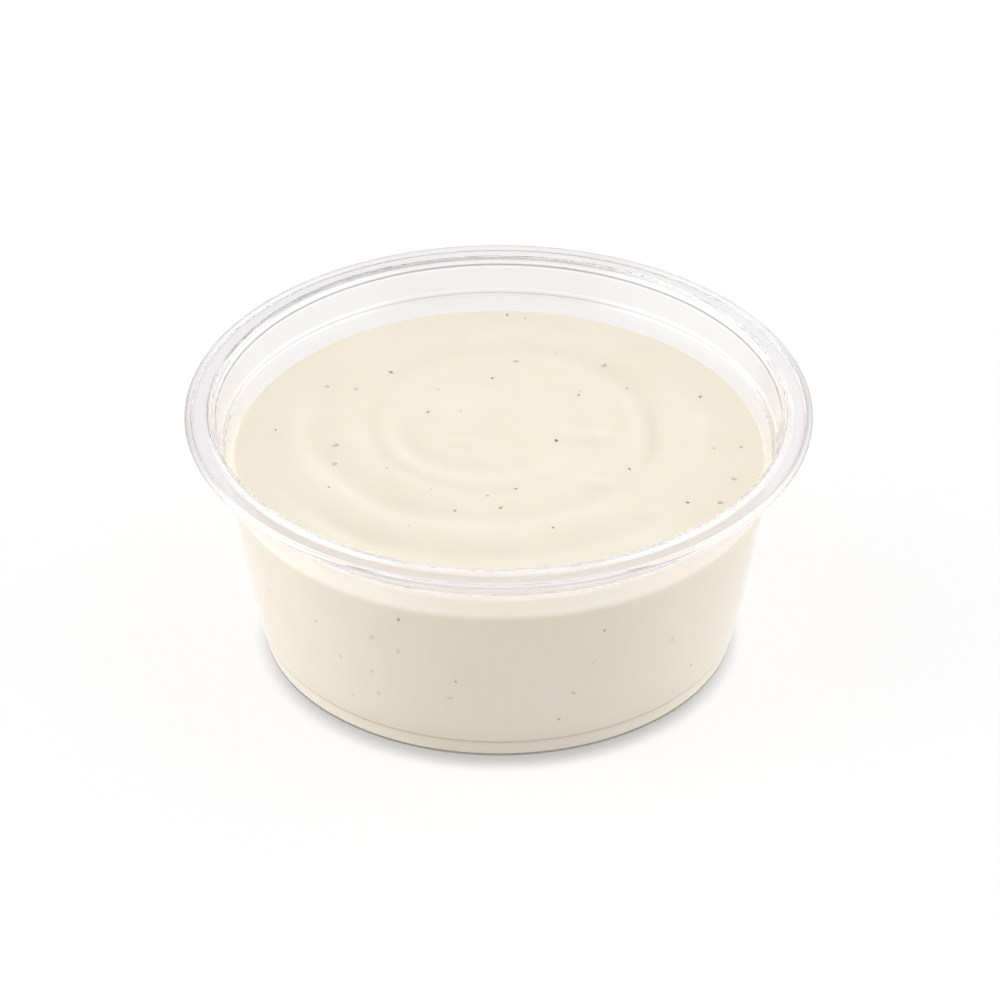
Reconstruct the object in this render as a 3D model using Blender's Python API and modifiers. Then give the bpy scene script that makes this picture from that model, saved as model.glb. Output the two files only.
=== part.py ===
"""Tzatziki dip in its clear plastic portion cup.

Two pieces: the thin formed cup, and the dip that fills it almost to the rim.
Metres, +Z up. The origin is the centre of the foot ring's underside, so the cup
stands on z = 0. The swirl's middle lies off centre, towards +Y, the back.
"""

import math

import bmesh
import bpy
from mathutils import Vector

MM = 0.001

# Cup: one sheet of clear plastic, given by the middle line of its wall
WALL = 0.45 * MM
RIM_RADIUS = 37.0 * MM
RIM_PLANE = 29.8 * MM
LIP_CREST_RADIUS = 34.0 * MM
LIP_CREST_RISE = 0.66 * MM
LIP_ROUND = 0.32 * MM
LIP_VALLEY_RADIUS = 34.7 * MM
LIP_VALLEY_DROP = 0.1 * MM
BEAD_ROUND = 0.42 * MM
BAND_TOP_RADIUS = 33.42 * MM
BAND_FOOT_RADIUS = 32.95 * MM
BAND_FOOT = 26.3 * MM
LEDGE_STEP = 0.5 * MM
LEDGE_DEPTH = 0.8 * MM
BASE_RING_RADIUS = 28.2 * MM
BASE_RING = 2.4 * MM
FOOT_RADIUS = 27.7 * MM
FOOT_WIDTH = 1.5 * MM
FLOOR_RISE = 0.8 * MM
BASE_FILLET = 0.5 * MM

# Dip: fills the cup up to its shoulder, which rounds off just short of the wall
GAP = 0.3 * MM
DIP_TOP = 24.3 * MM
DIP_TOUCH = 22.2 * MM
DIP_EDGE_RADIUS = 31.0 * MM

# Swirl left by the spoon: a spiral groove round a ring groove that nearly closes
SWIRL_OFFSET = 5.75 * MM
SPIRAL_PITCH = 7.8 * MM
SPIRAL_START = 18.2 * MM
SPIRAL_INNER = (13.5 * MM, 16.5 * MM)
SPIRAL_OUTER = (23.0 * MM, 29.5 * MM)
RING_MIDDLE = (-1.5 * MM, 5.8 * MM)
RING_RADIUS = 9.9 * MM
RING_DEEPEST = math.radians(235)
GROOVE_DEPTH = 0.36 * MM
GROOVE_WIDTH = 1.6 * MM
CROWN_HEIGHT = 0.18 * MM
LIP_HEIGHT = 0.24 * MM
LIP_WIDTH = 1.4 * MM
LIP_OUTSIDE = 2.9 * MM

AROUND = 60
TOP_RINGS = 22

CLEAR_PLASTIC = (0.93, 0.94, 0.94, 0.25)
CREAM_DIP = (0.88, 0.82, 0.68, 1.0)


def arc(centre, radius, start, end, pieces):
    """Points along a circular arc in the profile plane, angles in degrees."""
    points = []
    for i in range(pieces + 1):
        angle = math.radians(start + (end - start) * i / pieces)
        points.append(Vector((centre[0] + radius * math.cos(angle),
                              centre[1] + radius * math.sin(angle))))
    return points


def wall_line():
    """Middle line of the cup's wall, from the axis over the floor and up to the bead."""
    half = WALL / 2
    floor = FLOOR_RISE + half
    foot_inner = FOOT_RADIUS - FOOT_WIDTH
    band_low = BAND_FOOT_RADIUS
    line = [Vector((0, floor)), Vector((foot_inner - 1.6 * BASE_FILLET, floor))]
    line.append(Vector((foot_inner - 0.5 * BASE_FILLET, 0.6 * floor)))
    line.append(Vector((foot_inner, half)))
    line.append(Vector((FOOT_RADIUS - BASE_FILLET, half)))
    line.append(Vector((FOOT_RADIUS, half + 0.7 * BASE_FILLET)))
    line.append(Vector((BASE_RING_RADIUS - 0.45 * MM, BASE_RING - 0.4 * MM)))
    line.append(Vector((BASE_RING_RADIUS, BASE_RING)))
    line.append(Vector((BASE_RING_RADIUS + 0.45 * MM, BASE_RING + 1.4 * MM)))
    line.append(Vector((band_low - LEDGE_STEP, BAND_FOOT - LEDGE_DEPTH)))
    line.append(Vector((band_low - 0.35 * LEDGE_STEP, BAND_FOOT - 0.5 * LEDGE_DEPTH)))
    line.append(Vector((band_low, BAND_FOOT)))
    line.append(Vector((BAND_TOP_RADIUS, RIM_PLANE - 0.45 * MM)))
    crest_height = RIM_PLANE + LIP_CREST_RISE - half - LIP_ROUND
    line += arc((LIP_CREST_RADIUS, crest_height), LIP_ROUND, 165, 30, 5)
    line.append(Vector((LIP_VALLEY_RADIUS, RIM_PLANE - LIP_VALLEY_DROP)))
    line.append(Vector((RIM_RADIUS - 1.9 * BEAD_ROUND, RIM_PLANE - LIP_VALLEY_DROP)))
    return line


def offset_line(line, distance):
    """The line moved sideways, to its left where distance is positive, with mitred corners."""
    moved = []
    for i, point in enumerate(line):
        before = line[i] - line[i - 1] if i else line[1] - line[0]
        after = line[i + 1] - line[i] if i + 1 < len(line) else before
        left = [Vector((-way.y, way.x)).normalized() for way in (before, after)]
        mitre = (left[0] + left[1]).normalized()
        reach = distance / max(mitre.dot(left[0]), 0.5)
        moved.append(point + mitre * reach)
    return moved


def radius_at(line, height):
    """Radius of the rising part of a line at a height."""
    for low, high in zip(line[3:], line[4:]):
        if low.y <= height <= high.y:
            share = (height - low.y) / (high.y - low.y)
            return low.x + (high.x - low.x) * share
    return line[-1].x


def cup_profile():
    """Closed half section of the cup: inner face up, round the bead, outer face down."""
    line = wall_line()
    inner = offset_line(line, WALL / 2)
    outer = offset_line(line, -WALL / 2)
    bead = (RIM_RADIUS - BEAD_ROUND, RIM_PLANE)
    return inner + arc(bead, BEAD_ROUND, 120, -150, 6) + outer[::-1]


def dip_profile():
    """Closed half section of the dip: top face out, shoulder down, side and floor in."""
    side = offset_line(wall_line(), WALL / 2 + GAP)
    touch_radius = radius_at(side, DIP_TOUCH)
    top = []
    for i in range(TOP_RINGS + 1):
        top.append(Vector((DIP_EDGE_RADIUS * i / TOP_RINGS, DIP_TOP)))
    across = touch_radius - DIP_EDGE_RADIUS
    down = DIP_TOP - DIP_TOUCH
    for i in range(1, 5):
        turn = math.pi / 2 * i / 4
        top.append(Vector((DIP_EDGE_RADIUS + across * math.sin(turn),
                           DIP_TOP - down * (1 - math.cos(turn)))))
    low = [point for point in side[4:] if point.y < DIP_TOUCH - MM]
    floor = FLOOR_RISE + WALL + GAP
    low = [point for point in low if point.y > floor + 0.2 * MM]
    corner = Vector((radius_at(side, floor + 0.3 * MM) - 0.4 * MM, floor))
    return top + low[::-1] + [corner, Vector((corner.x / 2, floor)), Vector((0, floor))]


def fade(value, start, end):
    """0 below start, 1 above end, smooth between."""
    share = min(max((value - start) / (end - start), 0.0), 1.0)
    return share * share * (3 - 2 * share)


def bell(distance, width):
    """1 on the line, falling smoothly to 0 beside it."""
    return math.exp(-((distance / width) ** 2))


def spiral_height(x, y):
    """The spiral groove, with a soft crown between its turns."""
    reach = math.hypot(x, y - SWIRL_OFFSET)
    turn = math.atan2(y - SWIRL_OFFSET, x) / (2 * math.pi)
    phase = (reach - SPIRAL_START) / SPIRAL_PITCH + turn
    off_groove = (phase - round(phase)) * SPIRAL_PITCH
    groove = -GROOVE_DEPTH * bell(off_groove, GROOVE_WIDTH)
    crown = -CROWN_HEIGHT * math.cos(2 * math.pi * phase)
    strength = fade(reach, *SPIRAL_INNER) * (1 - fade(math.hypot(x, y), *SPIRAL_OUTER))
    return strength * (groove + crown)


def ring_height(x, y):
    """The ring groove and the lip outside it, deepest on one side."""
    across, along = x - RING_MIDDLE[0], y - RING_MIDDLE[1]
    off_ring = math.hypot(across, along) - RING_RADIUS
    weight = 0.62 + 0.38 * math.cos(math.atan2(along, across) - RING_DEEPEST)
    groove = -GROOVE_DEPTH * bell(off_ring, GROOVE_WIDTH)
    lip = LIP_HEIGHT * bell(off_ring - LIP_OUTSIDE, LIP_WIDTH)
    return weight * (groove + lip)


def swirl_height(x, y):
    """Height of the spoon's swirl over the level surface at a point."""
    return spiral_height(x, y) + ring_height(x, y)


def material(name, colour, roughness, transmission=0.0):
    """Principled material with the colour and gloss of one piece."""
    made = bpy.data.materials.new(name)
    made.use_nodes = True
    made.diffuse_color = colour
    shader = made.node_tree.nodes["Principled BSDF"]
    shader.inputs["Base Color"].default_value = (*colour[:3], 1.0)
    shader.inputs["Roughness"].default_value = roughness
    shader.inputs["Metallic"].default_value = 0.0
    shader.inputs["Transmission Weight"].default_value = transmission
    return made


def turned(name, profile, finish, collection):
    """A turned solid: the half section as edges, spun about Z by a Screw modifier."""
    mesh = bpy.data.meshes.new(name)
    section = bmesh.new()
    corners = [section.verts.new((point.x, 0.0, point.y)) for point in profile]
    for first, second in zip(corners, corners[1:]):
        section.edges.new((first, second))
    section.to_mesh(mesh)
    section.free()
    piece = bpy.data.objects.new(name, mesh)
    mesh.materials.append(finish)
    collection.objects.link(piece)
    screw = piece.modifiers.new("Turn", "SCREW")
    screw.axis = "Z"
    screw.angle = 2 * math.pi
    screw.steps = AROUND
    screw.render_steps = AROUND
    screw.use_merge_vertices = True
    screw.merge_threshold = 0.01 * MM
    screw.use_smooth_shade = True
    return piece


def apply_modifiers(piece):
    """Swap the piece's mesh for the one its modifiers make."""
    bpy.context.view_layer.update()
    graph = bpy.context.evaluated_depsgraph_get()
    made = bpy.data.meshes.new_from_object(piece.evaluated_get(graph))
    piece.modifiers.clear()
    piece.data = made


def stir(piece):
    """Press the spoon's swirl into the dip's top face."""
    for vertex in piece.data.vertices:
        x, y, z = vertex.co
        if z > DIP_TOP - 0.01 * MM:
            vertex.co.z = z + swirl_height(x, y)


def build():
    for old in list(bpy.data.objects):
        bpy.data.objects.remove(old)
    collection = bpy.data.collections.new("Tzatziki dip")
    bpy.context.scene.collection.children.link(collection)
    clear = material("clear plastic", CLEAR_PLASTIC, 0.08, 1.0)
    cream = material("cream dip", CREAM_DIP, 0.35)
    cup = turned("cup", cup_profile(), clear, collection)
    dip = turned("dip", dip_profile(), cream, collection)
    for piece in (cup, dip):
        apply_modifiers(piece)
        piece.data.shade_smooth()
        piece.data.set_sharp_from_angle(angle=math.radians(40))
    stir(dip)


build()
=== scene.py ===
# %% [markdown]
# # A portion cup of tzatziki dip
#
# This lesson dresses a small clear plastic cup of yoghurt dip. The imported model
# already holds the two solids at their true size: the cup and the dip. Here each
# gets a finer mesh and a real finish, and then the specks, the floor, the light
# and the camera follow.
#
# The first cell loads that frame, and a helper reads the box of each of its parts.
# Nothing made below may grow past it.

# %% Load the frame
import math
import random

import bpy
from mathutils import Matrix, Vector, noise


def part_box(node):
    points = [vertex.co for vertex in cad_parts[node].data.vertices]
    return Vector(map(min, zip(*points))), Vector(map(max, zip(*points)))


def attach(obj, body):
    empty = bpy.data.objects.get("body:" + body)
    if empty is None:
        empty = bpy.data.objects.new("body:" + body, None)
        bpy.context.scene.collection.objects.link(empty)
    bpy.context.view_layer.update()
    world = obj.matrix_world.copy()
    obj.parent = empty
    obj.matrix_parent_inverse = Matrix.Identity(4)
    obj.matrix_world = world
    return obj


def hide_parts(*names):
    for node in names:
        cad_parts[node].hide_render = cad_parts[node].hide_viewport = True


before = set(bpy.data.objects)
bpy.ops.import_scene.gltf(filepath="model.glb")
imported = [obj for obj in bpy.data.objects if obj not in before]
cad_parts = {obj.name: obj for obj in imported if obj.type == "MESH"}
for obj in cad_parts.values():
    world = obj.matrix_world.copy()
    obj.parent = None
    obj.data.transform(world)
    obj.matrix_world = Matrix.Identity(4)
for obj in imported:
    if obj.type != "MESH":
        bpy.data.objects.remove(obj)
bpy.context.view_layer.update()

MM = 0.001

# %% [markdown]
# ## Sizes
#
# The overall sizes come from the frame, so the fine pieces and the solids agree:
# the lip's outer radius and the cup's height from the cup's box. The rest are the
# sizes of the real cup's features, such as a wall a little under half a millimetre
# thick, written once and used everywhere.

# %% Sizes of the cup
CUP_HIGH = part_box("cup")[1]
RIM_RADIUS = CUP_HIGH.x - 0.02 * MM
LIP_TOP = CUP_HIGH.z - 0.01 * MM
LIP_CREST_RISE = 0.66 * MM
RIM_PLANE = LIP_TOP - LIP_CREST_RISE
WALL = 0.45 * MM
LIP_WALL = 0.36 * MM
BEAD_ROUND = 0.42 * MM
BAND_TOP_RADIUS = 33.42 * MM
BAND_FOOT_RADIUS = 32.95 * MM
BAND_FOOT = 26.3 * MM
LEDGE_STEP = 0.5 * MM
LEDGE_DEPTH = 0.7 * MM
BASE_RING_RADIUS = 28.2 * MM
BASE_RING = 2.4 * MM
FOOT_RADIUS = 27.7 * MM
FOOT_WIDTH = 1.5 * MM
FLOOR_RISE = 0.8 * MM
print("Cup:", round(2 * RIM_RADIUS / MM, 1), "mm across,", round(LIP_TOP / MM, 1), "mm high")

# %% Sizes of the dip
DIP_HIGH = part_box("dip")[1]
DIP_TOP = 24.3 * MM
DIP_TOUCH = 22.2 * MM
DIP_EDGE_RADIUS = 31.0 * MM
INTO_WALL = 0.12 * MM
print("Dip: level at", round(DIP_TOP / MM, 1), "mm, solid's highest point",
      round(DIP_HIGH.z / MM, 2), "mm")

# %% [markdown]
# ## One section for both pieces
#
# The cup is a single sheet of plastic, formed over a mould. So the easiest way to
# draw it is the middle line of the sheet: a list of corners, each with the radius
# that rounds it. Moving that line sideways by half the wall gives the inner and
# the outer face. Moving it a little less gives the dip's side, which then reaches
# just into the wall, so that no air gap shows between cream and plastic.

# %% Arcs and rounded corners
def arc(centre, radius, start, end, pieces):
    """Points on an arc in the section's plane, angles in degrees."""
    points = []
    for i in range(pieces + 1):
        angle = math.radians(start + (end - start) * i / pieces)
        points.append(centre + radius * Vector((math.cos(angle), math.sin(angle))))
    return points


def rounded(corners, pieces=5):
    """A line through (radius, height, rounding) corners, each turned into a small arc.

    A point close beside each arc keeps the straight stretches flat when shaded smooth.
    """
    line = [Vector(corners[0][:2])]
    for before, here, after in zip(corners, corners[1:], corners[2:]):
        corner = Vector(here[:2])
        back = Vector(before[:2]) - corner
        ahead = Vector(after[:2]) - corner
        reach = min(here[2], 0.4 * back.length, 0.4 * ahead.length)
        beside = 0.12 * reach
        start = corner + back.normalized() * reach
        end = corner + ahead.normalized() * reach
        line.append(start + back.normalized() * beside)
        for i in range(pieces + 1):
            share = i / pieces
            line.append(start.lerp(corner, share).lerp(corner.lerp(end, share), share))
        line.append(end + ahead.normalized() * beside)
    line.append(Vector(corners[-1][:2]))
    return line


def moved_sideways(line, distance):
    """The line moved to its left, with mitred corners."""
    moved = []
    for i, point in enumerate(line):
        before = line[i] - line[i - 1] if i else line[1] - line[0]
        after = line[i + 1] - line[i] if i + 1 < len(line) else before
        left = [Vector((-way.y, way.x)).normalized() for way in (before, after)]
        mitre = (left[0] + left[1]).normalized()
        moved.append(point + mitre * distance / max(mitre.dot(left[0]), 0.5))
    return moved


# %% The sheet from the axis to the top of the lid band
def lower_wall():
    half = WALL / 2
    floor = FLOOR_RISE + half
    foot_inner = FOOT_RADIUS - FOOT_WIDTH
    corners = [
        (0, floor, 0),
        (foot_inner - 0.8 * MM, floor, 0.5 * MM),
        (foot_inner, half, 0.35 * MM),
        (FOOT_RADIUS, half, 0.16 * MM),
        (BASE_RING_RADIUS - 0.45 * MM, BASE_RING - 0.40 * MM, 0.15 * MM),
        (BASE_RING_RADIUS + 0.05 * MM, BASE_RING + 0.10 * MM, 0.15 * MM),
        (BASE_RING_RADIUS + 0.42 * MM, BASE_RING + 1.4 * MM, 1.2 * MM),
        (BAND_FOOT_RADIUS - LEDGE_STEP, BAND_FOOT - LEDGE_DEPTH, 0.25 * MM),
        (BAND_FOOT_RADIUS - 0.08 * MM, BAND_FOOT - 0.1 * MM, 0.25 * MM),
        (BAND_TOP_RADIUS, RIM_PLANE - 0.45 * MM, 0),
    ]
    return rounded(corners)


# %% The sheet over the ridge and along the lip
def lip_line():
    """Middle of the sheet from the lid band over the ridge to the bead."""
    ridge = LIP_TOP - LIP_WALL / 2
    flat = RIM_PLANE - 0.10 * MM
    return rounded([
        (BAND_TOP_RADIUS - 0.03 * MM, RIM_PLANE - 0.75 * MM, 0),
        (33.48 * MM, RIM_PLANE - 0.26 * MM, 0.16 * MM),
        (33.92 * MM, ridge, 0.20 * MM),
        (34.18 * MM, ridge, 0.20 * MM),
        (34.50 * MM, flat, 0.20 * MM),
        (35.96 * MM, flat, 0.02 * MM),
        (36.06 * MM, flat, 0),
    ])


WALL_LINE = lower_wall()
print("The sheet's middle line has", len(WALL_LINE), "points up to the lip")

# %% [markdown]
# ## Turning a section
#
# A turned shape can be made with the Spin tool or a Screw modifier. Here it grows
# by hand, the way a potter raises a wall: a circle is added at the first point of
# the section, its edge is extruded to the next height and scaled to the next
# radius, and so on, ring by ring. The start is a disc whose fan of triangles
# already closes the middle, and the last ring is merged at its centre.

# %% Raise a section ring by ring
def deselect_all():
    if bpy.context.mode != "OBJECT":
        bpy.ops.object.mode_set(mode="OBJECT")
    bpy.ops.object.select_all(action="DESELECT")


def raised(name, section, sides):
    """A closed turned piece from (radius, height) points that start and end on the axis."""
    deselect_all()
    radius, height = section[1]
    middle = (0, 0, section[0].y)
    bpy.ops.mesh.primitive_circle_add(
        vertices=sides, radius=radius, fill_type="TRIFAN", location=middle)
    piece = bpy.context.object
    piece.name = name
    bpy.ops.object.transform_apply(location=True, rotation=True, scale=True)
    bpy.ops.object.mode_set(mode="EDIT")
    bpy.ops.mesh.select_all(action="SELECT")
    bpy.ops.mesh.region_to_loop()
    bpy.ops.transform.translate(value=(0, 0, height - section[0].y))
    for next_radius, next_height in section[2:-1]:
        bpy.ops.mesh.extrude_region_move(
            TRANSFORM_OT_translate={"value": (0, 0, next_height - height)})
        growth = next_radius / radius
        bpy.ops.transform.resize(value=(growth, growth, 1), center_override=(0, 0, 0))
        radius, height = next_radius, next_height
    bpy.ops.mesh.extrude_region_move(
        TRANSFORM_OT_translate={"value": (0, 0, section[-1].y - height)})
    bpy.ops.mesh.merge(type="CENTER")
    bpy.ops.mesh.select_all(action="SELECT")
    bpy.ops.mesh.normals_make_consistent(inside=False)
    bpy.ops.object.mode_set(mode="OBJECT")
    print(name, "has", len(piece.data.polygons), "faces")
    return piece


def smooth(piece, angle):
    deselect_all()
    piece.select_set(True)
    bpy.context.view_layer.objects.active = piece
    bpy.ops.object.shade_smooth_by_angle(angle=math.radians(angle))


# %% [markdown]
# ## The cup
#
# The real cup is thermoformed: a warm sheet is sucked over a mould, and its edge
# is rolled into a stiff bead. The section runs up the inner face, round the bead
# and down the outer face to the middle of the underside.
#
# Over the ridge and along the lip the sheet is thinner, but it keeps one thickness,
# so that its two faces bend the light alike. The bead is what catches the light at
# the very edge, so it is a full round with its own arc and not just the sheet's end.

# %% Model the cup
CUP_SIDES = 420


def cup_section():
    inner = moved_sideways(WALL_LINE, WALL / 2)[:-1]
    outer = moved_sideways(WALL_LINE, -WALL / 2)[:-1]
    bead_middle = Vector((RIM_RADIUS - BEAD_ROUND, RIM_PLANE))
    bead = arc(bead_middle, BEAD_ROUND, 145, -140, 18)
    upper = moved_sideways(lip_line(), LIP_WALL / 2)
    lower = moved_sideways(lip_line(), -LIP_WALL / 2)
    return inner + upper + bead + lower[::-1] + outer[::-1]


cup = raised("clear_cup", cup_section(), CUP_SIDES)
smooth(cup, 50)

# %% [markdown]
# ## Clear plastic
#
# Thin clear plastic is a glass-like material: it lets nearly all light through,
# bends it a little and shows itself by its reflections. What tells it from glass
# is the forming. The sheet stretches unevenly, which leaves faint waves. It greys
# where it is thick or seen edge-on, partly by its own tint and partly as painted
# shade for its dark edges. The thin darker and brighter lines that run round the
# axis, where the mould's edges bent the sheet, are painted shade and painted
# highlights that stand for the light those bends throw.
#
# The waves and the distance from a ring are shader node groups, so that any other
# moulded or turned piece could use the same effects with its own values.

# %% Node helpers
def new_material(name):
    material = bpy.data.materials.new(name)
    material.use_nodes = True
    nodes = material.node_tree.nodes
    return material, nodes, material.node_tree.links, nodes["Principled BSDF"]


def add_node(nodes, kind, **inputs):
    """A node with the values of its named inputs set."""
    node = nodes.new(kind)
    for label, value in inputs.items():
        node.inputs[label.replace("_", " ")].default_value = value
    return node


def object_coordinates(nodes):
    return nodes.new("ShaderNodeTexCoord").outputs["Object"]


# %% A group for soft unevenness
def unevenness_group():
    """Two sizes of smooth noise in one mask, from 0 to 1 round 0.5."""
    group = bpy.data.node_groups.new("Soft unevenness", "ShaderNodeTree")
    sockets = group.interface
    sockets.new_socket("Vector", in_out="INPUT", socket_type="NodeSocketVector")
    sockets.new_socket("Broad scale", in_out="INPUT", socket_type="NodeSocketFloat")
    sockets.new_socket("Fine scale", in_out="INPUT", socket_type="NodeSocketFloat")
    sockets.new_socket("Fine share", in_out="INPUT", socket_type="NodeSocketFloat")
    sockets.new_socket("Mask", in_out="OUTPUT", socket_type="NodeSocketFloat")
    nodes, links = group.nodes, group.links
    given = nodes.new("NodeGroupInput")
    result = nodes.new("NodeGroupOutput")
    broad = add_node(nodes, "ShaderNodeTexNoise", Detail=2.0, Roughness=0.5)
    fine = add_node(nodes, "ShaderNodeTexNoise", Detail=3.0, Roughness=0.6)
    blend = nodes.new("ShaderNodeMix")
    blend.data_type = "FLOAT"
    for texture, scale in ((broad, "Broad scale"), (fine, "Fine scale")):
        links.new(given.outputs["Vector"], texture.inputs["Vector"])
        links.new(given.outputs[scale], texture.inputs["Scale"])
    links.new(given.outputs["Fine share"], blend.inputs["Factor"])
    links.new(broad.outputs["Fac"], blend.inputs["A"])
    links.new(fine.outputs["Fac"], blend.inputs["B"])
    links.new(blend.outputs["Result"], result.inputs["Mask"])
    return group


UNEVENNESS = unevenness_group()


def add_unevenness(nodes, links, broad, fine, share):
    node = nodes.new("ShaderNodeGroup")
    node.node_tree = UNEVENNESS
    node.inputs["Broad scale"].default_value = broad
    node.inputs["Fine scale"].default_value = fine
    node.inputs["Fine share"].default_value = share
    links.new(object_coordinates(nodes), node.inputs["Vector"])
    return node.outputs["Mask"]


def mapped(nodes, links, mask, low, high):
    """The mask's middle range turned into values from low to high."""
    node = nodes.new("ShaderNodeMapRange")
    node.inputs["From Min"].default_value = 0.3
    node.inputs["From Max"].default_value = 0.7
    node.inputs["To Min"].default_value = low
    node.inputs["To Max"].default_value = high
    links.new(mask, node.inputs["Value"])
    return node.outputs["Result"]


def bump_from(nodes, links, mask, distance, strength):
    node = add_node(nodes, "ShaderNodeBump", Distance=distance, Strength=strength)
    links.new(mask, node.inputs["Height"])
    return node.outputs["Normal"]


def blended(nodes, links, mask, low, high, start=0.0, end=1.0):
    """The low colour where the mask is at the start, the high one where it is at the end."""
    ramp = nodes.new("ShaderNodeValToRGB")
    for stop, position, colour in zip(ramp.color_ramp.elements, (start, end), (low, high)):
        stop.position = position
        stop.color = (*colour, 1)
    links.new(mask, ramp.inputs["Fac"])
    return ramp.outputs["Color"]


def multiplied(nodes, links, colour, by, mask):
    """The colour multiplied by another where the mask is 1."""
    mix = nodes.new("ShaderNodeMix")
    mix.data_type = "RGBA"
    mix.blend_type = "MULTIPLY"
    mix.inputs["B"].default_value = (*by, 1)
    links.new(mask, mix.inputs["Factor"])
    links.new(colour, mix.inputs["A"])
    return mix.outputs["Result"]


def both(nodes, links, first, second):
    """A mask that is 1 only where two masks are."""
    node = nodes.new("ShaderNodeMath")
    node.operation = "MULTIPLY"
    links.new(first, node.inputs[0])
    links.new(second, node.inputs[1])
    return node.outputs["Value"]


def between(nodes, links, value, start, end):
    """A mask that grows smoothly from 0 at the start to 1 at the end."""
    mask = nodes.new("ShaderNodeMapRange")
    mask.interpolation_type = "SMOOTHSTEP"
    mask.inputs["From Min"].default_value = start
    mask.inputs["From Max"].default_value = end
    links.new(value, mask.inputs["Value"])
    return mask.outputs["Result"]


# %% A group for lines round the axis
def ring_group():
    """The distance of a place from a circle round the Z axis."""
    group = bpy.data.node_groups.new("Ring distance", "ShaderNodeTree")
    sockets = group.interface
    sockets.new_socket("Vector", in_out="INPUT", socket_type="NodeSocketVector")
    sockets.new_socket("Radius", in_out="INPUT", socket_type="NodeSocketFloat")
    sockets.new_socket("Height", in_out="INPUT", socket_type="NodeSocketFloat")
    sockets.new_socket("Distance", in_out="OUTPUT", socket_type="NodeSocketFloat")
    nodes, links = group.nodes, group.links
    given = nodes.new("NodeGroupInput")
    result = nodes.new("NodeGroupOutput")
    level = nodes.new("ShaderNodeVectorMath")
    level.operation = "MULTIPLY"
    level.inputs[1].default_value = (1, 1, 0)
    reach = nodes.new("ShaderNodeVectorMath")
    reach.operation = "LENGTH"
    place = nodes.new("ShaderNodeSeparateXYZ")
    here = nodes.new("ShaderNodeCombineXYZ")
    ring = nodes.new("ShaderNodeCombineXYZ")
    apart = nodes.new("ShaderNodeVectorMath")
    apart.operation = "DISTANCE"
    links.new(given.outputs["Vector"], level.inputs[0])
    links.new(level.outputs["Vector"], reach.inputs[0])
    links.new(given.outputs["Vector"], place.inputs["Vector"])
    links.new(reach.outputs["Value"], here.inputs["X"])
    links.new(place.outputs["Z"], here.inputs["Z"])
    links.new(given.outputs["Radius"], ring.inputs["X"])
    links.new(given.outputs["Height"], ring.inputs["Z"])
    links.new(here.outputs["Vector"], apart.inputs[0])
    links.new(ring.outputs["Vector"], apart.inputs[1])
    links.new(apart.outputs["Value"], result.inputs["Distance"])
    return group


RING_DISTANCE = ring_group()


def near_ring(nodes, links, radius, height, width):
    """A mask that is 1 on a circle round the axis and 0 farther than the width."""
    node = nodes.new("ShaderNodeGroup")
    node.node_tree = RING_DISTANCE
    node.inputs["Radius"].default_value = radius
    node.inputs["Height"].default_value = height
    links.new(object_coordinates(nodes), node.inputs["Vector"])
    return between(nodes, links, node.outputs["Distance"], width, 0.3 * width)


# %% Tint with painted shade and painted highlight lines
# Tint from face-on to edge-on; the grey towards edge-on is partly painted shade
TINT_AND_EDGE_SHADE = ((0.12, (0.90, 0.895, 0.895)), (0.30, (0.875, 0.845, 0.85)), (1.0, (0.72, 0.68, 0.69)))
THIN_TINT = (0.93, 0.925, 0.925)
BEAD_PAINTED_SHADE = (0.45, 0.42, 0.43)
BEAD_REACH = 1.0 * MM
BACK_SIDE = (-33 * MM, -8 * MM)
FRONT_SIDE = (-2 * MM, -27 * MM)

# Each painted line: radius, height over the rim's plane, width, and a shade, under 1 for painted
# shade and over 1 for painted highlight
BACK_PAINTED_LINES = (
    (34.30 * MM, 0.60 * MM, 0.12 * MM, 0.72),
    (33.90 * MM, 0.62 * MM, 0.10 * MM, 1.20),
    (33.67 * MM, 0.36 * MM, 0.12 * MM, 0.72),
    (33.45 * MM, 0.03 * MM, 0.14 * MM, 1.40),
    (33.29 * MM, -0.24 * MM, 0.17 * MM, 0.34),
    (33.24 * MM, -0.56 * MM, 0.14 * MM, 1.40),
    (32.70 * MM, -3.38 * MM, 0.15 * MM, 1.50),
    (32.50 * MM, -3.74 * MM, 0.13 * MM, 0.66),
)
FRONT_PAINTED_SHADE = (
    (32.93 * MM, -3.45 * MM, 0.35 * MM, 0.55),
)

# The same, with the height over the table
BASE_PAINTED_LINES = (
    (28.46 * MM, 2.80 * MM, 0.12 * MM, 1.30),
    (28.46 * MM, 2.46 * MM, 0.13 * MM, 0.55),
)


def painted_line_tint(shade):
    """The painted shade or painted highlight of a line: a grey with a trace of the sheet's warm
    tone.
    """
    return shade, 0.95 * shade, 0.96 * shade


def sheet_tint(nodes, links, facing, height):
    """Greyer where the sheet is seen edge-on, partly its tint and partly painted shade for its dark
    edges, and clearer where it is stretched thin.
    """
    tint = nodes.new("ShaderNodeValToRGB")
    tint.color_ramp.elements.new(0.5)
    for stop, (position, colour) in zip(tint.color_ramp.elements, TINT_AND_EDGE_SHADE):
        stop.position = position
        stop.color = (*colour, 1)
    links.new(facing, tint.inputs["Fac"])
    stretched = nodes.new("ShaderNodeMix")
    stretched.data_type = "RGBA"
    stretched.inputs["B"].default_value = (*THIN_TINT, 1)
    links.new(between(nodes, links, height, DIP_TOP, DIP_TOUCH), stretched.inputs["Factor"])
    links.new(tint.outputs["Color"], stretched.inputs["A"])
    return stretched.outputs["Result"]


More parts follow.
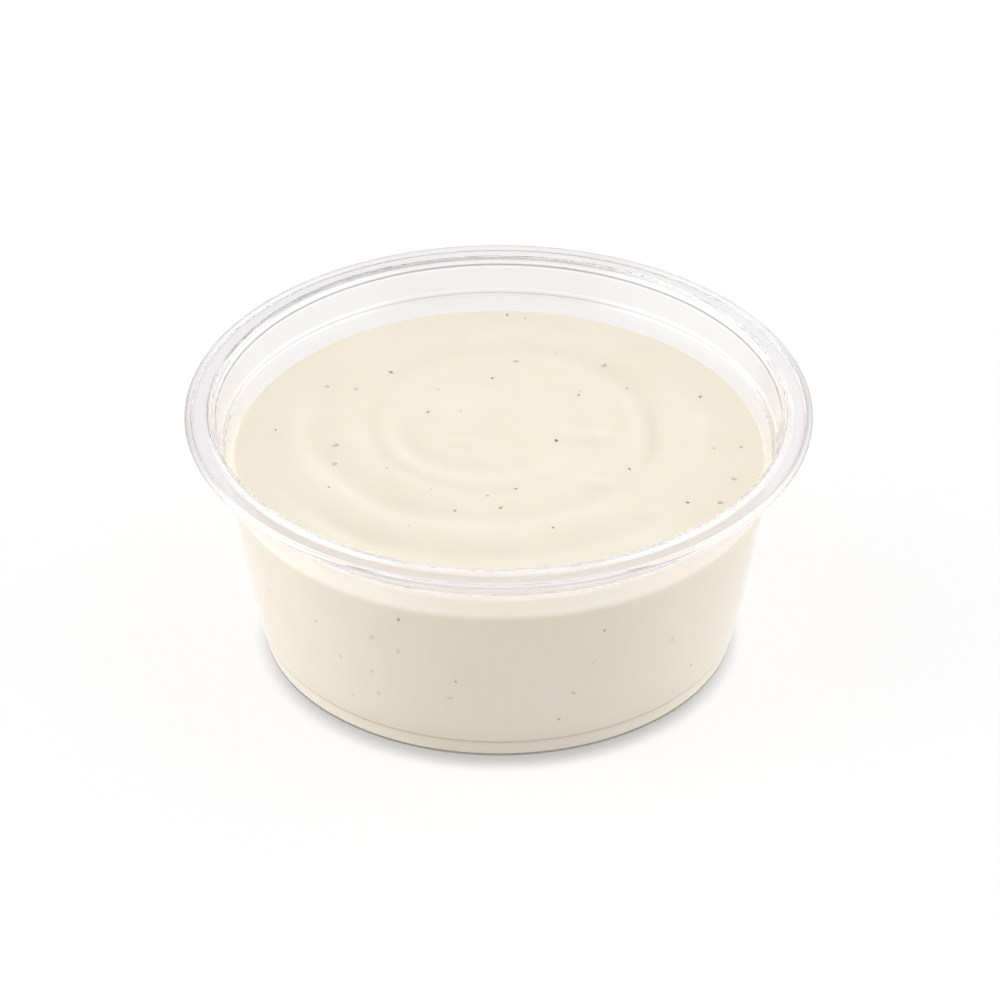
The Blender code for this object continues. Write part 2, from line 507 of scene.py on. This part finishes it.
def plastic_colour(nodes, links):
    """The sheet's tint with its painted shade and highlight lines and the painted shade on its
    bead's edge.
    """
    facing = add_node(nodes, "ShaderNodeLayerWeight", Blend=0.25).outputs["Facing"]
    place = nodes.new("ShaderNodeSeparateXYZ")
    links.new(object_coordinates(nodes), place.inputs["Vector"])
    colour = sheet_tint(nodes, links, facing, place.outputs["Z"])
    away = between(nodes, links, place.outputs["Y"], *BACK_SIDE)
    near = between(nodes, links, place.outputs["Y"], *FRONT_SIDE)
    # Painted shade and painted highlights: thin lines round the axis on the far side, and one muted
    # line on the near side
    for painted_lines, side in ((BACK_PAINTED_LINES, away), (FRONT_PAINTED_SHADE, near)):
        for radius, height, width, shade in painted_lines:
            line = near_ring(nodes, links, radius, RIM_PLANE + height, width)
            line = both(nodes, links, line, side)
            colour = multiplied(nodes, links, colour, painted_line_tint(shade), line)
    for radius, height, width, shade in BASE_PAINTED_LINES:
        line = near_ring(nodes, links, radius, height, width)
        colour = multiplied(nodes, links, colour, painted_line_tint(shade), line)
    # Painted shade: the bead's upper edge is greyed on the far side, where it turns away
    bead = near_ring(nodes, links, RIM_RADIUS - BEAD_ROUND, RIM_PLANE, BEAD_REACH)
    upper = between(nodes, links, place.outputs["Z"], RIM_PLANE - 0.2 * MM, RIM_PLANE + 0.1 * MM)
    turned_away = between(nodes, links, facing, 0.08, 0.45)
    bead = both(nodes, links, bead, upper)
    seen = both(nodes, links, turned_away, away)
    return multiplied(nodes, links, colour, BEAD_PAINTED_SHADE, both(nodes, links, bead, seen))


# %% [markdown]
# ## Light through the plastic
#
# The empty wall in front of the viewer looks milky, because it scatters some of the
# light towards the camera, and the edges of the lip most. That light is painted: a
# faint glow on the near part of the sheet, brightest on the lip's edges. It isn't
# meant to light anything, so it isn't sampled as a lamp.
#
# A path tracer finds few ways for light through a bent sheet, which would leave the
# cream too dark and the folds noisy. So rays that only carry soft light or shadow
# go straight through, and so does a ray that folds have bent several times.

# %% Painted haze glow
WALL_GLOW = (0.066, 0.064, 0.062)
LIP_GLOW = (0.018, 0.017, 0.017)
BRIGHT_EDGES = (
    (RIM_RADIUS - BEAD_ROUND, RIM_PLANE, 0.80 * MM),
    (34.30 * MM, RIM_PLANE + 0.25 * MM, 0.50 * MM),
)
EDGE_GAIN = (7.0, 7.0, 7.0)
NO_GLOW = (0, 0, 0, 1)


def painted_haze_glow(nodes, links):
    """Painted light: a faint glow on the front of the wall over the dip, on the lip and most on its
    edges.
    """
    place = nodes.new("ShaderNodeSeparateXYZ")
    links.new(object_coordinates(nodes), place.inputs["Vector"])
    front = between(nodes, links, place.outputs["Y"], *FRONT_SIDE)
    above = between(nodes, links, place.outputs["Z"], DIP_TOUCH - 0.3 * MM, DIP_TOUCH + 0.9 * MM)
    higher = between(nodes, links, place.outputs["Z"], BAND_FOOT - 0.4 * MM, BAND_FOOT + 0.6 * MM)
    colour = blended(nodes, links, higher, WALL_GLOW, LIP_GLOW)
    for radius, height, width in BRIGHT_EDGES:
        edge = near_ring(nodes, links, radius, height, width)
        colour = multiplied(nodes, links, colour, EDGE_GAIN, edge)
    veil = nodes.new("ShaderNodeMix")
    veil.data_type = "RGBA"
    veil.inputs["A"].default_value = NO_GLOW
    links.new(both(nodes, links, front, above), veil.inputs["Factor"])
    links.new(colour, veil.inputs["B"])
    return veil.outputs["Result"]


# %% Clear plastic finish
LAST_BEND = 3
STRAIGHT_TINT = (0.96, 0.955, 0.955, 1)
PLASTIC_IOR = 1.5


def goes_straight(nodes, links):
    """1 for rays that pass the sheet unbent: shadow, soft light, or many bends."""
    ray = nodes.new("ShaderNodeLightPath")
    late = nodes.new("ShaderNodeMath")
    late.operation = "GREATER_THAN"
    late.inputs[1].default_value = LAST_BEND + 0.5
    links.new(ray.outputs["Ray Depth"], late.inputs[0])
    straight = late.outputs["Value"]
    for kind in ("Is Shadow Ray", "Is Diffuse Ray"):
        either = nodes.new("ShaderNodeMath")
        either.operation = "MAXIMUM"
        links.new(straight, either.inputs[0])
        links.new(ray.outputs[kind], either.inputs[1])
        straight = either.outputs["Value"]
    return straight


def clear_plastic():
    material, nodes, links, shader = new_material("Clear formed plastic")
    links.new(plastic_colour(nodes, links), shader.inputs["Base Color"])
    links.new(painted_haze_glow(nodes, links), shader.inputs["Emission Color"])
    shader.inputs["Emission Strength"].default_value = 1.0
    material.cycles.emission_sampling = "NONE"
    shader.inputs["Transmission Weight"].default_value = 0.93
    shader.inputs["IOR"].default_value = PLASTIC_IOR
    waves = add_unevenness(nodes, links, 45.0, 160.0, 0.15)
    links.new(mapped(nodes, links, waves, 0.0, 0.02), shader.inputs["Roughness"])
    links.new(bump_from(nodes, links, waves, 0.10 * MM, 0.05), shader.inputs["Normal"])
    straight = add_node(nodes, "ShaderNodeBsdfTransparent", Color=STRAIGHT_TINT)
    mix = nodes.new("ShaderNodeMixShader")
    links.new(goes_straight(nodes, links), mix.inputs["Fac"])
    links.new(shader.outputs["BSDF"], mix.inputs[1])
    links.new(straight.outputs["BSDF"], mix.inputs[2])
    links.new(mix.outputs["Shader"], nodes["Material Output"].inputs["Surface"])
    return material


cup.data.materials.append(clear_plastic())
print("Cup finish:", cup.data.materials[0].name)

# %% [markdown]
# ## The dip
#
# The cream fills the cup to just under the ledge. It clings to the wall and rounds
# off into a soft shoulder at its edge, so its section runs over the level top,
# round the shoulder, down inside the plastic wall and across the floor. The top
# has a ring every 0.4 mm, because the swirl needs points to move.

# %% Model the dip
DIP_SIDES = 240
TOP_RINGS = 78


def radius_at(line, height):
    """Radius of the rising part of a line at a height."""
    for low, high in zip(line, line[1:]):
        if low.y <= height < high.y and low.x > 0.7 * DIP_EDGE_RADIUS:
            return low.x + (high.x - low.x) * (height - low.y) / (high.y - low.y)
    return line[-1].x


def dip_section():
    side = moved_sideways(lower_wall(), WALL / 2 - INTO_WALL)
    touch = Vector((radius_at(side, DIP_TOUCH), DIP_TOUCH))
    top = [Vector((DIP_EDGE_RADIUS * i / TOP_RINGS, DIP_TOP)) for i in range(TOP_RINGS + 1)]
    across, down = touch.x - DIP_EDGE_RADIUS, DIP_TOP - touch.y
    shoulder = []
    for i in range(1, 13):
        turn = math.pi / 2 * i / 12
        shoulder.append(Vector((DIP_EDGE_RADIUS + across * math.sin(turn),
                                DIP_TOP - down * (1 - math.cos(turn)))))
    below = [point for point in side if point.y < DIP_TOUCH - 0.5 * MM]
    return top + shoulder + below[::-1]


dip = raised("cream_dip", dip_section(), DIP_SIDES)

# %% [markdown]
# ## The spoon's swirl
#
# A spoon has levelled the top in one turning stroke. It left a spiral groove that
# winds out from the middle, a ring that nearly closes on itself, a low lip beside
# it, and a few small peaks where the spoon lifted. Proportional editing could push
# each of them in, but a stroke this regular is easier to write as a height: every
# point of the top face moves by what the formula says for its place.
#
# A hand doesn't press evenly. So the stroke fades and deepens from place to place,
# and shallow dents keep the level parts from looking machined.

# %% Swirl sizes
SWIRL_OFFSET = 5.75 * MM
SPIRAL_PITCH = 7.8 * MM
SPIRAL_START = 18.2 * MM
SPIRAL_INNER = (13.5 * MM, 16.5 * MM)
SPIRAL_OUTER = (23.0 * MM, 29.5 * MM)
RING_MIDDLE = (-1.5 * MM, 5.8 * MM)
RING_RADIUS = 9.9 * MM
RING_DEEPEST = math.radians(235)
GROOVE_DEPTH = 0.36 * MM
GROOVE_WIDTH = 1.6 * MM
CROWN_HEIGHT = 0.18 * MM
LIP_HEIGHT = 0.24 * MM
LIP_WIDTH = 1.4 * MM
LIP_OUTSIDE = 2.9 * MM
PRESSURE = 0.48
PRESSURE_DRIFT = 0.2
DENTS = 0.06 * MM
FINE_DENTS = 0.02 * MM

# Where the spoon pressed harder: x, y, spread and the pressure added
STROKES = (
    (-11.5 * MM, -2.5 * MM, 6.5 * MM, 0.75),
    (-14.5 * MM, -16.5 * MM, 5.5 * MM, 0.90),
    (17.0 * MM, 4.5 * MM, 7.0 * MM, 1.10),
    (9.0 * MM, 15.0 * MM, 6.0 * MM, 0.30),
)

# Where it lifted: x, y, width and height
PEAKS = (
    (10.6 * MM, 3.0 * MM, 2.2 * MM, 0.40 * MM),
    (-4.3 * MM, 1.9 * MM, 1.6 * MM, 0.30 * MM),
    (12.0 * MM, -7.0 * MM, 1.4 * MM, 0.22 * MM),
    (17.0 * MM, -13.0 * MM, 1.6 * MM, 0.16 * MM),
)


# %% Swirl height
def fade(value, start, end):
    """0 below start, 1 above end, smooth between."""
    share = min(max((value - start) / (end - start), 0.0), 1.0)
    return share * share * (3 - 2 * share)


def bell(distance, width):
    return math.exp(-((distance / width) ** 2))


def spiral_height(x, y):
    reach = math.hypot(x, y - SWIRL_OFFSET)
    turn = math.atan2(y - SWIRL_OFFSET, x) / (2 * math.pi)
    phase = (reach - SPIRAL_START) / SPIRAL_PITCH + turn
    off_groove = (phase - round(phase)) * SPIRAL_PITCH
    groove = -GROOVE_DEPTH * bell(off_groove, GROOVE_WIDTH)
    crown = -CROWN_HEIGHT * math.cos(2 * math.pi * phase)
    strength = fade(reach, *SPIRAL_INNER) * (1 - fade(math.hypot(x, y), *SPIRAL_OUTER))
    return strength * (groove + crown)


def ring_height(x, y):
    across, along = x - RING_MIDDLE[0], y - RING_MIDDLE[1]
    off_ring = math.hypot(across, along) - RING_RADIUS
    weight = 0.62 + 0.38 * math.cos(math.atan2(along, across) - RING_DEEPEST)
    groove = -GROOVE_DEPTH * bell(off_ring, GROOVE_WIDTH)
    lip = LIP_HEIGHT * bell(off_ring - LIP_OUTSIDE, LIP_WIDTH)
    return weight * (groove + lip)


def peak_height(x, y):
    return sum(height * bell(math.hypot(x - px, 1.6 * (y - py)), width)
               for px, py, width, height in PEAKS)


def uneven(x, y, size, seed):
    """Smooth noise from -1 to 1 with features of about the given size."""
    return noise.noise(Vector((x / size, y / size, seed)))


def surface_height(x, y):
    """Height of the dip's top face over the floor at a place."""
    pressure = PRESSURE + PRESSURE_DRIFT * uneven(x, y, 9 * MM, 4.2)
    for sx, sy, spread, more in STROKES:
        pressure += more * bell(math.hypot(x - sx, y - sy), spread)
    stroke = pressure * (spiral_height(x, y) + ring_height(x, y))
    dents = DENTS * uneven(x, y, 4.5 * MM, 1.7) + FINE_DENTS * uneven(x, y, 1.8 * MM, 7.3)
    dents *= 1 - fade(math.hypot(x, y), 26 * MM, 31 * MM)
    return DIP_TOP + stroke + peak_height(x, y) + dents


# %% Stir the dip
for vertex in dip.data.vertices:
    x, y, z = vertex.co
    if z > DIP_TOP - 0.001 * MM and math.hypot(x, y) < DIP_EDGE_RADIUS + 0.01 * MM:
        vertex.co.z = surface_height(x, y)
dip.data.update()
smooth(dip, 60)
heights = [vertex.co.z / MM for vertex in dip.data.vertices]
print("The stirred top reaches from", round(DIP_TOP / MM, 2), "to", round(max(heights), 2), "mm")

# %% [markdown]
# ## Cream
#
# Strained yoghurt is white with a little yellow, thick and wet. Light goes a short
# way into it, which softens every edge, so the shader has some subsurface
# scattering. The colour drifts very slightly, the gloss is uneven, and a fine bump
# stands for the grated cucumber and oil that the yoghurt holds. Wetting the wall
# does deepen the cream's look there; here that is painted shade in its colour,
# from the contact line down to the base ring.

# %% Cream finish
CREAM_LOW = (0.842, 0.771, 0.636)
CREAM_HIGH = (0.872, 0.811, 0.686)
PAINTED_WALL_SHADE = (0.865, 0.855, 0.83)
SCATTER_SHARE = 0.25
SCATTER_BY_COLOUR = (1.0, 0.85, 0.6)
SCATTER_REACH = 0.8 * MM


def against_wall(nodes, links):
    """A mask that is 1 from where the cream meets the wall down to the base ring."""
    place = nodes.new("ShaderNodeSeparateXYZ")
    links.new(object_coordinates(nodes), place.inputs["Vector"])
    touching = between(nodes, links, place.outputs["Z"], DIP_TOUCH + 0.4 * MM, DIP_TOUCH - 0.5 * MM)
    raised_up = between(nodes, links, place.outputs["Z"], 0.2 * MM, BASE_RING)
    return both(nodes, links, touching, raised_up)


def cream():
    material, nodes, links, shader = new_material("Cream dip")
    tint = add_unevenness(nodes, links, 90.0, 260.0, 0.3)
    colour = blended(nodes, links, tint, CREAM_LOW, CREAM_HIGH, 0.32, 0.68)
    # Painted shade: the cream is darker where it lies against the wall, down to the base ring
    colour = multiplied(nodes, links, colour, PAINTED_WALL_SHADE, against_wall(nodes, links))
    links.new(colour, shader.inputs["Base Color"])
    links.new(mapped(nodes, links, tint, 0.30, 0.38), shader.inputs["Roughness"])
    grain = add_unevenness(nodes, links, 320.0, 700.0, 0.3)
    links.new(bump_from(nodes, links, grain, 0.05 * MM, 0.15), shader.inputs["Normal"])
    shader.inputs["Subsurface Weight"].default_value = SCATTER_SHARE
    shader.inputs["Subsurface Radius"].default_value = SCATTER_BY_COLOUR
    shader.inputs["Subsurface Scale"].default_value = SCATTER_REACH
    shader.inputs["IOR"].default_value = 1.4
    return material


dip.data.materials.append(cream())
print("Dip finish:", dip.data.materials[0].name)

# %% [markdown]
# ## Specks
#
# Pepper and herbs show as sparse specks, most of them under half a millimetre.
# Three shapes are modelled once: a small sphere of triangles whose corners are
# pushed at random, then flattened. Copies are laid on the surface, some at listed
# places where the larger ones sit, the rest by a seeded draw. A copy is made
# a little larger than the dot that should show, because it lies half sunk.

# %% Speck shapes
def speck_shape(seed, subdivisions):
    """A lumpy, flattened crumb about one unit across, later scaled to its size."""
    deselect_all()
    bpy.ops.mesh.primitive_ico_sphere_add(subdivisions=subdivisions, radius=0.5)
    shape = bpy.context.object
    bpy.ops.object.mode_set(mode="EDIT")
    bpy.ops.mesh.select_all(action="SELECT")
    bpy.ops.transform.vertex_random(offset=0.12, uniform=0.6, normal=0.4, seed=seed)
    bpy.ops.transform.resize(value=(1.0, 0.72, 0.5), center_override=(0, 0, 0))
    bpy.ops.object.mode_set(mode="OBJECT")
    return shape


SPECK_SHAPES = [speck_shape(seed, 2) for seed in (3, 11, 23)]
print("Speck shapes:", len(SPECK_SHAPES))


# %% Places on the dip
def top_place(x, y, size):
    """A speck lying in the top face: its middle, and the way that it faces."""
    step = 0.2 * MM
    slope_x = (surface_height(x + step, y) - surface_height(x - step, y)) / (2 * step)
    slope_y = (surface_height(x, y + step) - surface_height(x, y - step)) / (2 * step)
    facing = Vector((-slope_x, -slope_y, 1)).normalized()
    middle = Vector((x, y, surface_height(x, y))) - facing * 0.12 * size
    return middle, facing, size


SIDE_LINE = moved_sideways(lower_wall(), WALL / 2 - INTO_WALL)


def side_place(angle, height, size):
    """A speck lying in the side, seen through the wall."""
    turn = math.radians(angle)
    radius = radius_at(SIDE_LINE, height)
    facing = Vector((math.cos(turn), math.sin(turn), -0.19)).normalized()
    middle = Vector((radius * math.cos(turn), radius * math.sin(turn), height))
    return middle - facing * 0.18 * size, facing, size


# %% Lay the specks
def scattered(name, places, growth, seed):
    """One piece from a copy of a speck shape at each place."""
    draw = random.Random(seed)
    copies = []
    for middle, facing, size in places:
        shape = draw.choice(SPECK_SHAPES)
        speck = shape.copy()
        speck.data = shape.data.copy()
        turned = facing.to_track_quat("Z", "Y").to_matrix().to_4x4()
        spin = Matrix.Rotation(draw.uniform(0, 2 * math.pi), 4, "Z")
        scale = Matrix.Scale(growth * size, 4)
        speck.matrix_world = Matrix.Translation(middle) @ turned @ spin @ scale
        bpy.context.scene.collection.objects.link(speck)
        copies.append(speck)
    deselect_all()
    for speck in copies:
        speck.select_set(True)
    bpy.context.view_layer.objects.active = copies[0]
    bpy.ops.object.join()
    bpy.ops.object.transform_apply(location=True, rotation=True, scale=True)
    piece = bpy.context.object
    piece.name = name
    smooth(piece, 60)
    print(name, "has", len(places), "specks")
    return piece


# On the top: x, y and size. On the side: angle, height and size. In millimetres and degrees
LARGE_TOP = (
    (-12.9, 17.4, 0.55), (-8.4, 8.6, 0.42), (-0.8, 16.1, 0.42), (1.0, 30.2, 0.40),
    (9.5, 12.3, 0.40), (6.8, 2.5, 0.45), (15.4, -3.3, 0.42), (2.0, -8.0, 0.36),
    (0.2, -12.0, 0.45), (6.3, -16.2, 0.40), (-5.1, -12.4, 0.42), (22.1, -10.5, 0.45),
    (24.0, 12.1, 0.40), (28.6, 1.0, 0.38), (-26.4, 4.7, 0.34), (-19.9, -7.6, 0.34),
)
LARGE_SIDE = (
    (-111.5, 20.4, 0.50), (-73.0, 9.4, 0.52), (-67.0, 18.5, 0.42), (-76.0, 5.5, 0.42),
    (-99.5, 11.9, 0.36), (-126.0, 5.7, 0.40), (-39.5, 6.6, 0.42),
)
FAINT_TOP = (
    (2.0, 19.8, 0.40), (12.6, 19.2, 0.42), (-20.5, 14.5, 0.40), (-19.3, 1.4, 0.50),
    (-19.3, -2.2, 0.40), (27.6, -5.8, 0.45), (25.9, -10.9, 0.45),
)
FAINT_SIDE = (
    (-118.5, 16.4, 0.45), (-134.0, 15.2, 0.40), (-119.5, 10.9, 0.40), (-128.0, 11.3, 0.45),
    (-101.0, 9.2, 0.45), (-112.5, 15.3, 0.45), (-118.5, 7.6, 0.40), (-48.0, 12.9, 0.42),
    (-68.5, 13.8, 0.45),
)


def chosen_places(top, side):
    places = [top_place(x * MM, y * MM, size * MM) for x, y, size in top]
    return places + [side_place(angle, height * MM, size * MM) for angle, height, size in side]


def drawn_places(count_top, count_side, sizes, seed):
    """Seeded places spread evenly over the top, and over the side away from the viewer."""
    draw = random.Random(seed)
    places = []
    for _ in range(count_top):
        reach = 30.3 * MM * math.sqrt(draw.random())
        turn = draw.uniform(0, 2 * math.pi)
        size = draw.uniform(*sizes) * MM
        places.append(top_place(reach * math.cos(turn), reach * math.sin(turn), size))
    for _ in range(count_side):
        height = draw.uniform(1.5, 21.5) * MM
        places.append(side_place(draw.uniform(-30, 210), height, draw.uniform(*sizes) * MM))
    return places


pepper_places = chosen_places(LARGE_TOP, LARGE_SIDE) + drawn_places(0, 26, (0.25, 0.5), 7)
pepper = scattered("pepper_specks", pepper_places, growth=1.3, seed=5)
herb_places = chosen_places(FAINT_TOP, FAINT_SIDE) + drawn_places(16, 50, (0.15, 0.35), 19)
herbs = scattered("herb_specks", herb_places, growth=1.8, seed=8)
for shape in SPECK_SHAPES:
    bpy.data.objects.remove(shape)

# %% [markdown]
# ## Speck finishes
#
# The pepper runs from a warm brown-black to a grey-brown, as some of it lies deeper
# in the cream. The herbs lie under a film of cream, so they read as soft smudges.
# Both vary from speck to speck, which a noise texture gives for nothing, because
# its pattern is much larger than one speck.

# %% Speck finishes
def speck_finish(name, dark, light, roughness):
    material, nodes, links, shader = new_material(name)
    mask = add_unevenness(nodes, links, 250.0, 6000.0, 0.4)
    links.new(blended(nodes, links, mask, dark, light, 0.35, 0.65), shader.inputs["Base Color"])
    links.new(mapped(nodes, links, mask, roughness, roughness + 0.15), shader.inputs["Roughness"])
    return material


pepper.data.materials.append(speck_finish("Pepper", (0.20, 0.17, 0.12), (0.66, 0.60, 0.47), 0.45))
herbs.data.materials.append(speck_finish("Herbs", (0.60, 0.54, 0.42), (0.74, 0.68, 0.54), 0.45))
print("Finishes:", pepper.data.materials[0].name, herbs.data.materials[0].name)

# %% [markdown]
# ## Hanging the pieces on the frame
#
# Every piece rides on the model's one body. The fine cup and the fine dip stand
# for their solids, which then don't show.

# %% Ride and replace
for piece in (cup, dip, pepper, herbs):
    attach(piece, "root")
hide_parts("cup")
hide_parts("dip")
print("Pieces ride on the root body")

# %% [markdown]
# ## Floor
#
# The picture has a seamless white floor with one soft contact shadow. A matt white
# plane does that. It glows, as overexposed paper does, and close to the foot the
# glow fades in a disc set a little towards the viewer: a painted shadow, which
# joins the plane's own soft shadow and keeps it short.

# %% Floor
PAINTED_SHADOW_MIDDLE = (0.0, -2.0 * MM, 0.0)
PAINTED_SHADOW_EDGE = (26.2 * MM, 29.4 * MM)

# Under the cup, and beside it; the lower glow under and near the cup is painted shadow
PAPER = ((0.40, 0.40, 0.41), (0.25, 0.25, 0.25))
PAPER_GLOW = ((0.26, 0.26, 0.26), (0.75, 0.75, 0.75))


def from_foot(nodes, links):
    """A mask that grows from 0 under the cup's foot to 1 a few millimetres beside it."""
    distance = nodes.new("ShaderNodeVectorMath")
    distance.operation = "DISTANCE"
    distance.inputs[1].default_value = PAINTED_SHADOW_MIDDLE
    links.new(object_coordinates(nodes), distance.inputs[0])
    return between(nodes, links, distance.outputs["Value"], *PAINTED_SHADOW_EDGE)


def paper():
    material, nodes, links, shader = new_material("White paper")
    mask = from_foot(nodes, links)
    links.new(blended(nodes, links, mask, *PAPER), shader.inputs["Base Color"])
    # Painted shadow: the glow fades close to the foot
    links.new(blended(nodes, links, mask, *PAPER_GLOW), shader.inputs["Emission Color"])
    shader.inputs["Emission Strength"].default_value = 1.0
    shader.inputs["Specular IOR Level"].default_value = 0.0
    shader.inputs["Roughness"].default_value = 0.9
    return material


deselect_all()
bpy.ops.mesh.primitive_plane_add(size=6.0, location=(0, 0, -0.05 * MM))
floor = bpy.context.object
floor.name = "floor"
floor.data.materials.append(paper())
print("Floor is", floor.dimensions.x, "m wide")

# %% [markdown]
# ## Light
#
# The picture was lit in a white tent: soft light from everywhere, more of it from
# the back right, less from the camera's side, and a bright panel at either side
# that lightens the cup's flanks. The world's shader gives that. Its strength follows
# the direction: each lobe adds light round one direction, and the tent darkens
# towards the floor. The camera itself sees plain white.

# %% World light
SKY = 0.34
SEEN_BY_CAMERA = 0.98
HORIZON_HEIGHT = 0.14
LIGHT_BELOW = 0.45

# Direction, agreement at the lobe's edge and in its middle, and the light added
LOBES = (
    (Vector((0.55, 0.70, 0.45)), 0.80, 0.95, 0.85),
    (Vector((0.22, 0.92, 0.28)), 0.94, 0.985, 0.50),
    (Vector((0.0, 0.84, 0.54)), 0.70, 0.97, 0.30),
    (Vector((0.10, -0.47, 0.88)), 0.88, 0.96, 0.70),
    (Vector((0.0, -0.95, 0.25)), 0.40, 0.95, -0.16),
)
SIDE_LOBES = (
    (Vector((-0.98, -0.05, 0.10)), 0.55, 0.92, 2.9),
    (Vector((0.98, -0.05, 0.10)), 0.55, 0.92, 2.15),
)


def lobe(nodes, links, direction, start, end, amount, least=0.0):
    """Light around a direction, growing with how far the view agrees with it."""
    coordinates = nodes.new("ShaderNodeTexCoord")
    agreement = nodes.new("ShaderNodeVectorMath")
    agreement.operation = "DOT_PRODUCT"
    agreement.inputs[1].default_value = direction.normalized()
    links.new(coordinates.outputs["Generated"], agreement.inputs[0])
    share = nodes.new("ShaderNodeMapRange")
    share.interpolation_type = "SMOOTHSTEP"
    share.inputs["From Min"].default_value = start
    share.inputs["From Max"].default_value = end
    share.inputs["To Min"].default_value = least
    share.inputs["To Max"].default_value = amount
    links.new(agreement.outputs["Value"], share.inputs["Value"])
    return share.outputs["Result"]


def with_lobes(nodes, links, base, lobes):
    """The base value with the light of each lobe added."""
    total = base
    for direction, start, end, amount in lobes:
        add = nodes.new("ShaderNodeMath")
        links.new(total, add.inputs[0])
        links.new(lobe(nodes, links, direction, start, end, amount), add.inputs[1])
        total = add.outputs["Value"]
    return total


def light_tent():
    world = bpy.data.worlds.new("Light tent")
    world.use_nodes = True
    nodes, links = world.node_tree.nodes, world.node_tree.links
    sky = nodes.new("ShaderNodeValue")
    sky.outputs["Value"].default_value = SKY
    tent = with_lobes(nodes, links, sky.outputs["Value"], LOBES)
    horizon = lobe(nodes, links, Vector((0, 0, 1)), 0.0, HORIZON_HEIGHT, 1.0, LIGHT_BELOW)
    light = with_lobes(nodes, links, both(nodes, links, tent, horizon), SIDE_LOBES)
    ray = nodes.new("ShaderNodeLightPath")
    seen = nodes.new("ShaderNodeMix")
    seen.data_type = "FLOAT"
    seen.inputs["B"].default_value = SEEN_BY_CAMERA
    links.new(ray.outputs["Is Camera Ray"], seen.inputs["Factor"])
    links.new(light, seen.inputs["A"])
    links.new(seen.outputs["Result"], nodes["Background"].inputs["Strength"])
    nodes["Background"].inputs["Color"].default_value = (1.0, 1.0, 1.0, 1)
    return world


bpy.context.scene.world = light_tent()
bpy.context.scene.view_settings.view_transform = "Standard"
bpy.context.scene.view_settings.look = "None"
print("World:", bpy.context.scene.world.name)

# %% [markdown]
# ## Camera
#
# The photographer stood back and used a long lens, looking down at 33 degrees. The
# rings of the cup fix that: their width against their height gives the angle, and
# how little the foot's ring is squashed against the lip's gives the distance.

# %% Camera
CAMERA_DISTANCE = 1.0
CAMERA_ELEVATION = math.radians(32.96)
LENS = 306.1
AIM = Vector((0.00015, 0, 0.01746))

camera_data = bpy.data.cameras.new("camera")
camera_data.lens = LENS
camera_data.sensor_width = 36.0
camera = bpy.data.objects.new("camera", camera_data)
bpy.context.scene.collection.objects.link(camera)
stand = Vector((AIM.x, 0, RIM_PLANE))
camera.location = stand + CAMERA_DISTANCE * Vector(
    (0, -math.cos(CAMERA_ELEVATION), math.sin(CAMERA_ELEVATION)))
camera.rotation_euler = (camera.location - AIM).to_track_quat("Z", "Y").to_euler()
bpy.context.scene.camera = camera
print("Camera at", [round(value, 3) for value in camera.location])
